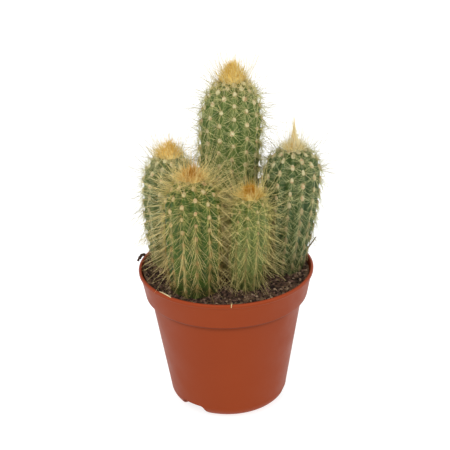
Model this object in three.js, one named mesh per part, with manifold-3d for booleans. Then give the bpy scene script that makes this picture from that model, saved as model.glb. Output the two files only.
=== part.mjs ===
// A clump of five ribbed, spiny column cacti growing in a plain plastic nursery pot.
// Lengths are in millimetres and +Z is up. The origin is the centre of the pot's foot, on the
// surface that the pot stands on, and the clump is seen from -Y.

import * as THREE from "three";
import { mergeVertices } from "three/addons/utils/BufferGeometryUtils.js";
import Module from "manifold-3d";

const wasm = await Module();
wasm.setup();

// Driving dimensions
const GAP = 0.3; // left between pieces that rest on each other

const POT = {
  height: 99,
  rimRadius: 60,
  lipHeight: 3,
  lipEdges: [0.8, 0.4], // the bevels under and on top of the lip
  lipStep: 1.2, // how far the lip stands proud of the collar
  collarRadius: 55.8, // at the collar's lower edge
  collarBottom: 79.9,
  shoulderRadius: 52.1, // the body, just under the collar
  shoulderHeight: 77.6,
  heelRadius: 41, // the body, where it turns into the rounded foot
  heelHeight: 9.5,
  wall: 1.2,
  plateHeight: 7, // underside of the raised base plate
  plateRadius: 27.5,
  footInnerRadius: 28.2,
  middleFoot: [8, 10], // radius of the flat middle foot, and of its top at the base plate
  segments: 48,
};
const SLOTS = { count: 3, firstAngle: -130, width: 18, height: 8 };
const DRAINS = { count: 6, radius: 3.2, circle: 17, segments: 10 };

const SOIL = { level: 94, relief: 0.8, mound: 2.2, rings: 4, bottom: 8.5, collarSteps: [0.6, 1] };
// The holes that the stems stand in, and how much wider they are than the stems and the gap.
const HOLE = { sides: 18, slack: 0.15, heights: [4, 8] };

const GROUND = 92; // where the stems leave the soil
const ROOT = { depth: 10, taper: 0.78 }; // the buried foot of each stem
// The woolly pad under each group of needles. It sits low on a small bulge, under a notch.
const AREOLE = { halfWidth: 1.25, halfHeight: 1.35, wool: 0.7, bulge: 0.5, notch: -0.45 };
const AREOLE_ROWS = { lowest: 8, belowCrown: 1 };
const DOME_CENTRE = 0.55; // how far below the apex the dome is rounded about, in domes
// How far a needle keeps from others, and its tip from stems, soil and pot. While it is in the
// way it is tried again, each time more upright, turned further and shorter.
const NEEDLE = {
  samples: 6,
  clearance: 0.75,
  stemClearance: 1.2,
  soilClearance: 2,
  tries: 6,
  turnStep: 0.22,
  leanStep: 0.12,
  shortenStep: 0.08,
};
// The four needles of an areole: how far each is turned from the way up the skin and leans from
// the skin's normal, in degrees, how much both vary, and how they gather upwards near the apex.
const FAN = {
  upper: { around: 62, tilt: 50 },
  lower: { around: 128, tilt: 56 },
  swing: 16,
  rock: 10,
  youngFrom: 0.55,
  youngTurn: 0.25,
  youngLift: 8,
};
// The tufts on a crown lean outwards from the first to the second share of their rise.
const CROWN = {
  sides: 14,
  rows: 4,
  inset: 1,
  rowSpread: 1.15,
  shoulder: 0.8,
  thickness: 0.8,
  tuft: [4.5, 6.5],
  shortest: 0.55,
  lean: [0.25, 0.9],
};

// The ribs are weaker at the ground and again where they run into the crown. step is the
// distance between the points of the furrows.
const RIBBING = { atGround: 0.45, fullAt: 0.22, intoCrown: 0.35, fadeLength: 14, step: 14 };

// ground and apex are where a stem's axis meets the soil and ends. foot is the radius at the
// ground as a share of the full one, reached at the height share belly. In rows, top is how far
// below the apex the first areole is, pitch is the step to the next one, crowding is how much
// closer the young ones are, and phase shifts the whole pattern. The crown covers reach
// millimetres of the skin around the apex, rises above it, and is the more pointed the slimmer.
const STEMS = [
  {
    name: "tall", ground: [-0.5, 21], apex: [7.6, 22], height: 134, radius: 20.6, foot: 0.88,
    belly: 0.5, dome: 34, ribs: 14, firstRib: -85.5, ribDepth: 2.6, needle: [5.5, 9],
    rows: { top: 9, pitch: 9.1, crowding: 0.42, phase: 0 },
    crown: { reach: 12.5, rise: 12, slim: 0.75 },
  },
  {
    name: "right", ground: [39, 5], apex: [47.3, 8], height: 89, radius: 19.8, foot: 0.66,
    belly: 0.62, dome: 22, ribs: 14, firstRib: -94.5, ribDepth: 2.8, needle: [5.5, 9],
    rows: { top: 6.9, pitch: 8.6, crowding: 0.16, phase: 0.5 },
    crown: { reach: 11, rise: 17.5, slim: 2 },
  },
  {
    name: "back_left", ground: [-38, 17], apex: [-36.5, 19], height: 82.5, radius: 18.6, foot: 0.66,
    belly: 0.5, dome: 23.5, ribs: 13, firstRib: -80, ribDepth: 2.6, needle: [5, 8.5],
    rows: { top: 8, pitch: 8.8, crowding: 0.3, phase: 0.5 },
    crown: { reach: 12, rise: 8.5, slim: 0.8 },
  },
  {
    name: "front_left", ground: [-21, -23.5], apex: [-20.7, -20.5], height: 80, radius: 18.8,
    foot: 0.84, belly: 0.43, dome: 22, ribs: 13, firstRib: -83.2, ribDepth: 2.6, needle: [6, 10],
    rows: { top: 6.6, pitch: 8.6, crowding: 0.11, phase: 0.5 },
    crown: { reach: 11, rise: 9, slim: 0.75 },
  },
  {
    name: "front_centre", ground: [13, -22], apex: [17, -20], height: 67.5, radius: 13, foot: 0.75,
    belly: 0.4, dome: 16.5, ribs: 12, firstRib: -95.6, ribDepth: 1.9, needle: [5.5, 9],
    rows: { top: 8.2, pitch: 7.5, crowding: 0.2, phase: 0.5 },
    crown: { reach: 9, rise: 8, slim: 0.8 },
  },
];

const SEED = 31;

const LOOKS = {
  pot: { color: 0xa64a2c, roughness: 0.45, metalness: 0 },
  soil: { color: 0x3a2a20, roughness: 0.95, metalness: 0 },
  stem: { color: 0x5d8347, roughness: 0.6, metalness: 0 },
  crown: { color: 0xd1a03c, roughness: 0.7, metalness: 0 },
};

// A seeded generator of numbers from 0 to 1, so that every run gives the same plant.
function seededRandom(seed) {
  let state = seed;
  return () => {
    state = (state + 0x6d2b79f5) | 0;
    let mixed = Math.imul(state ^ (state >>> 15), 1 | state);
    mixed = (mixed + Math.imul(mixed ^ (mixed >>> 7), 61 | mixed)) ^ mixed;
    return ((mixed ^ (mixed >>> 14)) >>> 0) / 4294967296;
  };
}

const radians = THREE.MathUtils.degToRad;
const { lerp, smoothstep } = THREE.MathUtils;

// Solids

// A closed three.js geometry as a solid that can be cut and joined.
function solidOf(geometry) {
  const bare = geometry.clone();
  bare.deleteAttribute("normal");
  bare.deleteAttribute("uv");
  const merged = mergeVertices(bare, 1e-4);
  const faces = [];
  for (let i = 0; i < merged.index.count; i += 3) {
    const corners = [0, 1, 2].map((k) => merged.index.getX(i + k));
    if (new Set(corners).size === 3) faces.push(...corners);
  }
  const solid = new wasm.Manifold(
    new wasm.Mesh({
      numProp: 3,
      vertProperties: new Float32Array(merged.attributes.position.array),
      triVerts: new Uint32Array(faces),
    }),
  );
  return solid;
}

function geometryOf(solid) {
  const { vertProperties, triVerts } = solid.getMesh();
  const geometry = new THREE.BufferGeometry();
  geometry.setAttribute("position", new THREE.BufferAttribute(new Float32Array(vertProperties), 3));
  geometry.setIndex(new THREE.BufferAttribute(new Uint32Array(triVerts), 1));
  geometry.computeVertexNormals();
  return geometry;
}

// A profile of [radius, height] pairs turned about the Z axis.
function turned(profile, segments) {
  const points = profile.map(([r, z]) => new THREE.Vector2(r, z));
  return new THREE.LatheGeometry(points, segments).rotateX(Math.PI / 2);
}

function namedMesh(name, geometry, look) {
  const mesh = new THREE.Mesh(geometry, new THREE.MeshStandardMaterial(look));
  mesh.name = name;
  return mesh;
}

// A surface built point by point. Faces are given anticlockwise as seen from outside.
class Skin {
  constructor() {
    this.points = [];
    this.faces = [];
  }

  point(position) {
    this.points.push(position);
    return this.points.length - 1;
  }

  face(a, b, c) {
    this.faces.push(a, b, c);
  }

  // A three-sided needle that grows out of the face a b c.
  needle(a, b, c, tip) {
    const end = this.point(tip);
    this.face(a, b, end);
    this.face(b, c, end);
    this.face(c, a, end);
  }

  // Fills the strip between two lines of { index, s } that run the same way, the second one
  // lying anticlockwise of the first as seen from above.
  strip(first, second) {
    let i = 0;
    let j = 0;
    while (i < first.length - 1 || j < second.length - 1) {
      const stepFirst =
        j === second.length - 1 || (i < first.length - 1 && first[i + 1].s <= second[j + 1].s);
      if (stepFirst) {
        this.face(first[i].index, second[j].index, first[i + 1].index);
        i += 1;
      } else {
        this.face(first[i].index, second[j].index, second[j + 1].index);
        j += 1;
      }
    }
  }

  // Joins two rings of the same count, the second one lying above or inside the first.
  band(lower, upper) {
    lower.forEach((_, k) => {
      const next = (k + 1) % lower.length;
      this.face(lower[k], lower[next], upper[next]);
      this.face(lower[k], upper[next], upper[k]);
    });
  }

  fan(ring, centre, upwards) {
    ring.forEach((_, k) => {
      const next = (k + 1) % ring.length;
      if (upwards) this.face(ring[k], ring[next], centre);
      else this.face(ring[next], ring[k], centre);
    });
  }

  geometry() {
    const geometry = new THREE.BufferGeometry().setFromPoints(this.points);
    geometry.setIndex(this.faces);
    geometry.computeVertexNormals();
    return geometry;
  }
}

// The pot

// The outer line of the pot from its foot to its rim, as [radius, height].
function potOutside(inset = 0) {
  const footRadius = POT.heelRadius - POT.heelHeight;
  const steps = 3;
  const heel = Array.from({ length: steps + 1 }, (_, k) => {
    const angle = (k / steps) * (Math.PI / 2);
    const radius = POT.heelHeight - inset;
    return [footRadius + radius * Math.sin(angle), POT.heelHeight - radius * Math.cos(angle)];
  });
  return [
    ...heel,
    [POT.shoulderRadius - inset, POT.shoulderHeight + inset / 2],
    [POT.collarRadius - inset, POT.collarBottom + inset / 2],
    [POT.rimRadius - POT.lipStep - inset, POT.height - POT.lipHeight],
  ];
}

function makePot() {
  const [flat, top] = POT.middleFoot;
  const potUnderside = [
    [0, 0],
    [flat, 0],
    [top, POT.plateHeight],
    [POT.plateRadius, POT.plateHeight],
    [POT.footInnerRadius, 0],
  ];
  const potInsideBase = [
    [POT.footInnerRadius + POT.wall, POT.wall],
    [POT.plateRadius + POT.wall, POT.plateHeight + POT.wall],
    [top - POT.wall, POT.plateHeight + POT.wall],
    [flat - POT.wall, POT.wall],
    [0, POT.wall],
  ];
  const lip = [
    [POT.rimRadius, POT.height - POT.lipHeight + POT.lipEdges[0]],
    [POT.rimRadius - POT.lipEdges[1], POT.height],
    [POT.rimRadius - POT.lipStep, POT.height],
  ];
  const profile = [
    ...potUnderside,
    ...potOutside(),
    ...lip,
    ...potOutside(POT.wall).reverse(),
    ...potInsideBase,
  ];
  let pot = solidOf(turned(profile, POT.segments));
  const reach = POT.heelRadius - POT.plateRadius + 2;
  for (let k = 0; k < SLOTS.count; k++) {
    const angle = radians(SLOTS.firstAngle + (k * 360) / SLOTS.count);
    const slot = new THREE.BoxGeometry(reach, SLOTS.width, 2 * SLOTS.height)
      .translate(POT.plateRadius - 1 + reach / 2, 0, 0)
      .rotateZ(angle);
    pot = pot.subtract(solidOf(slot));
  }
  for (let k = 0; k < DRAINS.count; k++) {
    const angle = (k * 2 * Math.PI) / DRAINS.count;
    const drain = new THREE.CylinderGeometry(DRAINS.radius, DRAINS.radius, 20, DRAINS.segments)
      .rotateX(Math.PI / 2)
      .translate(DRAINS.circle * Math.cos(angle), DRAINS.circle * Math.sin(angle), POT.plateHeight);
    pot = pot.subtract(solidOf(drain));
  }
  return namedMesh("pot", geometryOf(pot), LOOKS.pot);
}

// The stems

// The side line of a stem from the ground to its apex, as (radius, height above ground).
class StemOutline extends THREE.Curve {
  constructor(stem) {
    super();
    this.stem = stem;
  }

  getPoint(t, target = new THREE.Vector2()) {
    const { height, radius, foot, belly, dome } = this.stem;
    const z = height * Math.sin((t * Math.PI) / 2);
    const swell = lerp(foot, 1, smoothstep(z, -0.25 * belly * height, belly * height));
    const intoDome = Math.max(0, (z - (height - dome)) / dome);
    return target.set(radius * swell * Math.sqrt(Math.max(0, 1 - intoDome ** 2.1)), z);
  }
}

for (const stem of STEMS) {
  stem.outline = new StemOutline(stem);
  stem.length = stem.outline.getLength();
  stem.crownStart = stem.length - stem.crown.reach;
}

// The axis of a stem at a height above ground.
function axisAt(stem, z) {
  const share = Math.max(0, z) / stem.height;
  return new THREE.Vector2(
    lerp(stem.ground[0], stem.apex[0], share),
    lerp(stem.ground[1], stem.apex[1], share),
  );
}

// Where a stem's skin is, its outward normal and its upward tangent, at an angle round the axis
// and s millimetres up the skin from the ground, lifted off the rib-free surface by lift.
function onSkin(stem, angle, s, lift = 0) {
  const share = THREE.MathUtils.clamp(s / stem.length, 0, 1);
  const side = stem.outline.getPointAt(share);
  const along = stem.outline.getTangentAt(share);
  const out = new THREE.Vector2(along.y, -along.x);
  const radius = side.x + out.x * lift;
  const z = side.y + out.y * lift;
  const axis = axisAt(stem, z);
  const [cos, sin] = [Math.cos(angle), Math.sin(angle)];
  return {
    position: new THREE.Vector3(axis.x + radius * cos, axis.y + radius * sin, GROUND + z),
    normal: new THREE.Vector3(out.x * cos, out.x * sin, out.y),
    up: new THREE.Vector3(along.x * cos, along.x * sin, along.y),
    around: new THREE.Vector3(-sin, cos, 0),
    radius,
  };
}

// How far a point is outside a stem's rib-free surface. It is negative inside.
function outsideOf(stem, point) {
  const z = THREE.MathUtils.clamp(point.z - GROUND, 0, stem.height - DOME_CENTRE * stem.dome);
  const axis = axisAt(stem, z);
  const fromAxis = new THREE.Vector3(point.x - axis.x, point.y - axis.y, point.z - GROUND - z);
  return fromAxis.length() - stem.outline.getPoint((2 / Math.PI) * Math.asin(z / stem.height)).x;
}

function soilHeight(x, y) {
  const lumps = Math.sin(x * 0.31 + 1.3) * Math.cos(y * 0.27) + Math.sin(x * 0.13 - y * 0.19);
  const towardsBackLeft = smoothstep(-x * 0.8 + y * 0.3, 25, 55);
  return SOIL.level + (SOIL.relief * lumps) / 2 + SOIL.mound * towardsBackLeft;
}

// The radius of the pot's inner wall at a height.
function potInside(z) {
  const line = potOutside(POT.wall);
  const above = line.findIndex(([, height]) => height >= z);
  if (above < 0) return line.at(-1)[0];
  const [lower, upper] = [line[Math.max(0, above - 1)], line[above]];
  const share = upper[1] === lower[1] ? 0 : (z - lower[1]) / (upper[1] - lower[1]);
  return lerp(lower[0], upper[0], THREE.MathUtils.clamp(share, 0, 1));
}

// Needles already placed, each as a line with the areole that it grows from.
const placedNeedles = [];

// The smallest distance between two needles, sampled along the first one.
function distanceBetween(first, second) {
  let nearest = Infinity;
  const onFirst = new THREE.Vector3();
  const onSecond = new THREE.Vector3();
  for (let k = 0; k <= NEEDLE.samples; k++) {
    first.line.at(k / NEEDLE.samples, onFirst);
    second.line.closestPointToPoint(onFirst, true, onSecond);
    nearest = Math.min(nearest, onFirst.distanceTo(onSecond));
  }
  return nearest;
}

// Whether a needle is free of the soil, the pot, its own and the other stems, and other needles.
function isClear(needle, stem) {
  const tip = needle.line.end;
  const reachFromAxis = Math.hypot(tip.x, tip.y);
  const clear = NEEDLE.soilClearance;
  if (tip.z < soilHeight(tip.x, tip.y) + clear) return false;
  if (tip.z < POT.height + clear && reachFromAxis > potInside(tip.z) - clear) return false;
  const own = outsideOf(stem, tip);
  if (own < NEEDLE.stemClearance) return false;
  const others = STEMS.filter((other) => other !== stem);
  if (others.some((other) => outsideOf(other, tip) < own + NEEDLE.stemClearance)) return false;
  const reach = needle.line.distance() + NEEDLE.clearance;
  return placedNeedles.every(
    (placed) =>
      placed.areole === needle.areole ||
      placed.line.start.distanceTo(needle.line.start) > reach + placed.line.distance() ||
      distanceBetween(placed, needle) > NEEDLE.clearance,
  );
}

// Turns a needle step by step until it is clear, first upright, then leaning and shorter.
function placeNeedle(stem, areole, root, frame, around, tilt, length) {
  for (let k = 0; k < NEEDLE.tries; k++) {
    const lean = tilt * (1 - NEEDLE.leanStep * k);
    const turn = around + (k % 2 ? 1 : -1) * NEEDLE.turnStep * k;
    const direction = new THREE.Vector3()
      .addScaledVector(frame.normal, Math.cos(lean))
      .addScaledVector(frame.around, Math.sin(lean) * Math.sin(turn))
      .addScaledVector(frame.up, Math.sin(lean) * Math.cos(turn));
    const tip = root.clone().addScaledVector(direction, length * (1 - NEEDLE.shortenStep * k));
    const needle = { areole, line: new THREE.Line3(root.clone(), tip) };
    if (isClear(needle, stem)) {
      placedNeedles.push(needle);
      return tip;
    }
  }
  return null;
}

// One areole: a woolly diamond on a rib's crest whose four faces carry a needle each.
function addAreole(skin, stem, angle, s, random) {
  const at = (turn, rise, lift) => onSkin(stem, angle + turn, s + rise, lift);
  const frame = at(0, 0, 0);
  const turn = AREOLE.halfWidth / Math.max(frame.radius, 4);
  const height = AREOLE.halfHeight;
  const low = skin.point(at(0, -height, AREOLE.bulge).position);
  const east = skin.point(at(turn, 0, 0).position);
  const high = skin.point(at(0, height, AREOLE.notch).position);
  const west = skin.point(at(-turn, 0, 0).position);
  const wool = skin.point(at(0, 0, AREOLE.wool).position);
  const areole = skin.points[wool];
  const young = smoothstep(s, FAN.youngFrom * stem.length, stem.crownStart);
  const sides = [
    { corners: [east, high], side: 1, ...FAN.upper },
    { corners: [high, west], side: -1, ...FAN.upper },
    { corners: [low, east], side: 1, ...FAN.lower },
    { corners: [west, low], side: -1, ...FAN.lower },
  ];
  for (const { corners, side, around, tilt } of sides) {
    const [a, b] = corners;
    const root = new THREE.Vector3()
      .add(skin.points[a])
      .add(skin.points[b])
      .add(areole)
      .divideScalar(3);
    const length = lerp(...stem.needle, random());
    const towards = side * around * (1 - FAN.youngTurn * young);
    const heading = radians(towards + FAN.swing * (random() - 0.5));
    const leaning = radians(tilt - FAN.youngLift * young + FAN.rock * (random() - 0.5));
    const tip = placeNeedle(stem, areole, root, frame, heading, leaning, length);
    if (tip) skin.needle(a, b, wool, tip);
    else skin.face(a, b, wool);
  }
  return {
    east: [
      { index: low, s: s - height },
      { index: east, s },
      { index: high, s: s + height },
    ],
    west: [
      { index: low, s: s - height },
      { index: west, s },
      { index: high, s: s + height },
    ],
  };
}

function ribDepthAt(stem, s) {
  const { atGround, fullAt, intoCrown, fadeLength } = RIBBING;
  const fromGround = lerp(atGround, 1, smoothstep(s, 0, fullAt * stem.length));
  const toCrown = lerp(1, intoCrown, smoothstep(s, stem.crownStart - fadeLength, stem.crownStart));
  return stem.ribDepth * fromGround * toCrown;
}

// How far up the skin an areole is that stands n steps below the topmost one.
function areoleHeight(stem, n) {
  const { top, pitch, crowding } = stem.rows;
  return stem.length - top - pitch * (n - crowding * (1 - Math.exp(-n)));
}

// The skin heights of a rib's areoles from the ground up. Each rib's row starts half a step
// from its neighbour's, so the areoles stand in a diamond pattern.
function areoleHeights(stem, rib) {
  const halfTurn = Math.floor(stem.ribs / 2);
  const highest = stem.crownStart - AREOLE.halfHeight - AREOLE_ROWS.belowCrown;
  const heights = [];
  let n = (((rib * halfTurn) % stem.ribs) / stem.ribs + stem.rows.phase) % 1;
  for (; areoleHeight(stem, n) > AREOLE_ROWS.lowest; n += 1) {
    if (areoleHeight(stem, n) < highest) heights.unshift(areoleHeight(stem, n));
  }
  return heights;
}

// A stem with its ribs, areoles and needles, and its buried foot, as one closed skin.
function makeStem(stem, random) {
  const skin = new Skin();
  const ribAngle = (2 * Math.PI) / stem.ribs;
  const ribAt = (k) => radians(stem.firstRib) + k * ribAngle;
  const crests = [];
  const valleys = [];
  for (let k = 0; k < stem.ribs; k++) {
    const crestEnd = (s) => ({ index: skin.point(onSkin(stem, ribAt(k), s).position), s });
    const bottom = crestEnd(0);
    const top = crestEnd(stem.crownStart);
    const areoles = areoleHeights(stem, k).map((s) => addAreole(skin, stem, ribAt(k), s, random));
    crests.push({
      east: [bottom, ...areoles.flatMap((areole) => areole.east), top],
      west: [bottom, ...areoles.flatMap((areole) => areole.west), top],
    });
    const steps = Math.round(stem.crownStart / RIBBING.step);
    valleys.push(
      Array.from({ length: steps + 1 }, (_, row) => {
        const s = (row / steps) * stem.crownStart;
        const place = onSkin(stem, ribAt(k + 0.5), s, -ribDepthAt(stem, s));
        return { index: skin.point(place.position), s };
      }),
    );
  }
  crests.forEach((crest, k) => {
    skin.strip(crest.east, valleys[k]);
    skin.strip(valleys[k], crests[(k + 1) % stem.ribs].west);
  });
  const ringOf = (end) =>
    crests.flatMap((crest, k) => [crest.east.at(end).index, valleys[k].at(end).index]);
  const apex = skin.point(onSkin(stem, 0, stem.length).position);
  skin.fan(ringOf(-1), apex, true);
  const groundRing = ringOf(0);
  const root = groundRing.map((_, k) => {
    const angle = ribAt(k / 2);
    const radius = stem.radius * stem.foot * ROOT.taper;
    return skin.point(
      new THREE.Vector3(
        stem.ground[0] + radius * Math.cos(angle),
        stem.ground[1] + radius * Math.sin(angle),
        GROUND - ROOT.depth,
      ),
    );
  });
  const tail = skin.point(new THREE.Vector3(...stem.ground, GROUND - ROOT.depth));
  skin.band(root, groundRing);
  skin.fan(root, tail, false);
  return namedMesh(`stem_${stem.name}`, skin.geometry(), LOOKS.stem);
}

// The golden tuft of young needles on a stem's apex. It sits on the dome like a cap.
function makeCrown(stem, random) {
  const skin = new Skin();
  const { reach, rise, slim } = stem.crown;
  const { sides, rows, rowSpread, shoulder, lean } = CROWN;
  const edge = stem.crownStart + CROWN.inset;
  const rim = onSkin(stem, 0, edge, GAP + CROWN.thickness);
  const apex = onSkin(stem, 0, stem.length).position;
  const axisEdge = axisAt(stem, rim.position.z - GROUND);
  const ring = (radius, z) => {
    const share = (z - rim.position.z) / (apex.z + rise - rim.position.z);
    return Array.from({ length: sides }, (_, k) => {
      const angle = k * ((2 * Math.PI) / sides);
      const x = lerp(axisEdge.x, apex.x, share) + radius * Math.cos(angle);
      const y = lerp(axisEdge.y, apex.y, share) + radius * Math.sin(angle);
      return skin.point(new THREE.Vector3(x, y, z));
    });
  };
  const outer = [];
  for (let row = 0; row < rows; row++) {
    const share = row / rows;
    const radius = rim.radius * (1 - share) ** slim;
    outer.push(ring(radius, lerp(rim.position.z, apex.z + rise * shoulder, share ** rowSpread)));
  }
  const tip = skin.point(new THREE.Vector3(apex.x, apex.y, apex.z + rise));
  const centre = new THREE.Vector3(apex.x, apex.y, apex.z);
  const tuft = (a, b, c) => {
    const corners = [a, b, c].map((index) => skin.points[index]);
    const root = new THREE.Vector3();
    corners.forEach((corner) => root.addScaledVector(corner, 1 / 3));
    const outward = root.clone().sub(centre).setZ(0);
    const spread = outward.length() / rim.radius;
    outward.normalize().multiplyScalar(lerp(...lean, spread));
    const direction = outward.setZ(1).normalize();
    const [outerLength, innerLength] = CROWN.tuft;
    const length = lerp(CROWN.shortest, 1, random()) * lerp(innerLength, outerLength, spread);
    const end = root.clone().addScaledVector(direction, length);
    placedNeedles.push({ areole: centre, line: new THREE.Line3(root, end) });
    skin.needle(a, b, c, end);
  };
  for (let row = 0; row < rows - 1; row++) {
    outer[row].forEach((_, k) => {
      const next = (k + 1) % sides;
      tuft(outer[row][k], outer[row][next], outer[row + 1][next]);
      tuft(outer[row][k], outer[row + 1][next], outer[row + 1][k]);
    });
  }
  skin.fan(outer.at(-1), tip, true);
  const under = [0, 0.5].map((share) =>
    Array.from({ length: sides }, (_, k) => {
      const s = lerp(edge, stem.length, share);
      return skin.point(onSkin(stem, k * ((2 * Math.PI) / sides), s, GAP).position);
    }),
  );
  const middle = skin.point(onSkin(stem, 0, stem.length, GAP).position);
  skin.band(under[0], outer[0]);
  skin.band(under[1], under[0]);
  skin.fan(under[1], middle, false);
  return namedMesh(`crown_${stem.name}`, skin.geometry(), LOOKS.crown);
}

// The soil

// A stem's foot without ribs, a gap larger all round: the hole that it stands in.
function holeFor(stem) {
  const { sides } = HOLE;
  const skin = new Skin();
  const slack = GAP / Math.cos(Math.PI / sides) + HOLE.slack;
  const rootRadius = stem.radius * stem.foot * ROOT.taper;
  const heights = [-ROOT.depth - GAP, 0, ...HOLE.heights];
  const rings = heights.map((z) => {
    const side = stem.outline.getPoint((2 / Math.PI) * Math.asin(Math.max(0, z) / stem.height));
    const radius = (z < 0 ? rootRadius : side.x + AREOLE.bulge * Math.min(1, z)) + slack;
    const axis = axisAt(stem, z);
    return Array.from({ length: sides }, (_, k) => {
      const angle = (k * 2 * Math.PI) / sides;
      const x = axis.x + radius * Math.cos(angle);
      const y = axis.y + radius * Math.sin(angle);
      return skin.point(new THREE.Vector3(x, y, GROUND + z));
    });
  });
  for (let k = 0; k < rings.length - 1; k++) skin.band(rings[k], rings[k + 1]);
  const ends = [rings[0], rings.at(-1)].map((ring, k) => {
    const z = k ? heights.at(-1) : heights[0];
    const axis = axisAt(stem, z);
    return skin.point(new THREE.Vector3(axis.x, axis.y, GROUND + z));
  });
  skin.fan(rings[0], ends[0], false);
  skin.fan(rings.at(-1), ends[1], true);
  return solidOf(skin.geometry());
}

function makeSoil() {
  const skin = new Skin();
  const sides = POT.segments;
  const angleOf = (k) => (k * 2 * Math.PI) / sides;
  const ringAt = (radius, height) =>
    Array.from({ length: sides }, (_, k) => {
      const [x, y] = [radius * Math.cos(angleOf(k)), radius * Math.sin(angleOf(k))];
      return skin.point(new THREE.Vector3(x, y, height ?? soilHeight(x, y)));
    });
  const [belowStep, aboveStep] = SOIL.collarSteps;
  const wallHeights = [
    SOIL.bottom,
    POT.heelHeight,
    POT.shoulderHeight + belowStep,
    POT.collarBottom + aboveStep,
  ];
  const walls = wallHeights.map((z) => ringAt(potInside(z) - GAP, z));
  const edge = potInside(SOIL.level - SOIL.relief) - GAP;
  const top = Array.from({ length: SOIL.rings }, (_, k) => ringAt(edge * (1 - k / SOIL.rings)));
  const rings = [...walls, ...top];
  for (let k = 0; k < rings.length - 1; k++) skin.band(rings[k], rings[k + 1]);
  skin.fan(rings[0], skin.point(new THREE.Vector3(0, 0, SOIL.bottom)), false);
  skin.fan(rings.at(-1), skin.point(new THREE.Vector3(0, 0, soilHeight(0, 0))), true);
  const soil = STEMS.reduce((left, stem) => left.subtract(holeFor(stem)), solidOf(skin.geometry()));
  return namedMesh("soil", geometryOf(soil), LOOKS.soil);
}

// The whole plant: the crowns come before the stems, whose needles keep clear of them.
const plant = new THREE.Group();
const random = seededRandom(SEED);
plant.add(makePot(), makeSoil());
plant.add(...STEMS.map((stem) => makeCrown(stem, random)));
plant.add(...STEMS.map((stem) => makeStem(stem, random)));

export default plant;
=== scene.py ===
"""Dresses the CAD solids of a clump of five column cacti in a plastic nursery pot."""

import math

import bpy
import numpy as np
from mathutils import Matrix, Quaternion, Vector

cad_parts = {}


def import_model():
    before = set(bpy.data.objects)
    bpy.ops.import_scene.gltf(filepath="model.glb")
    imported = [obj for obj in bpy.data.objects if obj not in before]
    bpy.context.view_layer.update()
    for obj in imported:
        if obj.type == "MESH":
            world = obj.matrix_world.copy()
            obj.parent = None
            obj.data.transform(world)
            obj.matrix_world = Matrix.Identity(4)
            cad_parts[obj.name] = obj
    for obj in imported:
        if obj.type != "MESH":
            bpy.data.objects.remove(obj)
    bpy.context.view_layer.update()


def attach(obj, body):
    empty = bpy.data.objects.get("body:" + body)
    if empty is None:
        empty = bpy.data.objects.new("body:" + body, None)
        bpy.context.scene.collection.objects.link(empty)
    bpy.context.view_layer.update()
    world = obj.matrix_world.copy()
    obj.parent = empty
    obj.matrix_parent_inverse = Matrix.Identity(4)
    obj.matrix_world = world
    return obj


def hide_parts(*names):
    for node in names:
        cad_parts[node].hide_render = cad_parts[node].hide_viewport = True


MM = 0.001

# The same measures as the CAD solids have, in millimetres.
GROUND = 92.0
ROOT_DEPTH = 10.0
ROOT_TAPER = 0.78
LOWEST_AREOLE = 4.0
POT = {
    "height": 99.0,
    "rim": 60.0,
    "lip": 3.0,
    "lip_step": 1.2,
    "collar": (55.8, 79.9),
    "shoulder": (52.1, 77.6),
    "heel": (41.0, 9.5),
    "wall": 1.2,
    "plate": (27.5, 7.0),
    "foot_inside": 28.2,
    "middle_foot": (8.0, 10.0),
    "slots": {"count": 3, "first": -130.0, "width": 18.0, "height": 8.0},
    "drains": {"count": 6, "radius": 3.2, "circle": 17.0},
}
SOIL = {"level": 94.0, "relief": 0.8, "mound": 2.2, "bottom": 8.5, "bank": 2.8}

STEM_NAMES = ("tall", "right", "back_left", "front_left", "front_centre")


def by_stem(table, lengths=()):
    """Gives each stem its column of a table. The rows named in lengths are turned to metres."""
    return {
        name: {fact: row[k] * MM if fact in lengths else row[k] for fact, row in table.items()}
        for k, name in enumerate(STEM_NAMES)
    }


# Millimetres and degrees, one column a stem.
STEMS = by_stem(
    {
        # Where the axis starts and ends, the height over the ground, the widest radius, the foot's
        # share of it, how far up the belly is, as a share, and how deep the dome at the top is.
        # Then how many ribs there are, and at what angle the first one is.
        "ground": ((-0.5, 21.0), (39.0, 5.0), (-38.0, 17.0), (-21.0, -23.5), (13.0, -22.0)),
        "apex": ((7.6, 22.0), (47.3, 8.0), (-36.5, 19.0), (-20.7, -20.5), (17.0, -20.0)),
        "height": (134.0, 89.0, 82.5, 80.0, 67.5),
        "radius": (20.6, 19.8, 18.6, 18.8, 13.0),
        "foot": (0.88, 0.66, 0.66, 0.84, 0.75),
        "belly": (0.5, 0.62, 0.5, 0.43, 0.4),
        "dome": (34.0, 22.0, 23.5, 22.0, 16.5),
        "ribs": (14, 14, 13, 13, 12),
        "first_rib": (-85.5, -94.5, -80.0, -83.2, -95.6),
        # The topmost areole's distance from the apex, the step to the next, how much the steps
        # shrink at the top, where in a step the first rib's row starts, and how wide the cap is.
        "top": (9.0, 6.9, 8.0, 6.6, 8.2),
        "pitch": (9.1, 8.6, 8.8, 8.6, 7.5),
        "crowding": (0.42, 0.16, 0.3, 0.11, 0.2),
        "phase": (0.0, 0.5, 0.5, 0.5, 0.5),
        "cap": (8.4, 6.6, 7.6, 6.4, 6.8),
        # How far down areoles are young, and how far up they can be crowded by the next stem.
        "young": (15.0, 7.0, 9.0, 12.0, 9.0),
        "crowded_below": (46.0, 60.0, 60.0, 72.0, 64.0),
    }
)
# How deep the furrows are, and how far the bulges on the ribs stand out.
RIBS = by_stem(
    {"depth": (2.6, 2.8, 2.6, 2.6, 1.9), "tubercle": (0.9, 0.5, 1.1, 0.9, 0.6)},
    ("depth", "tubercle"),
)
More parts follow.
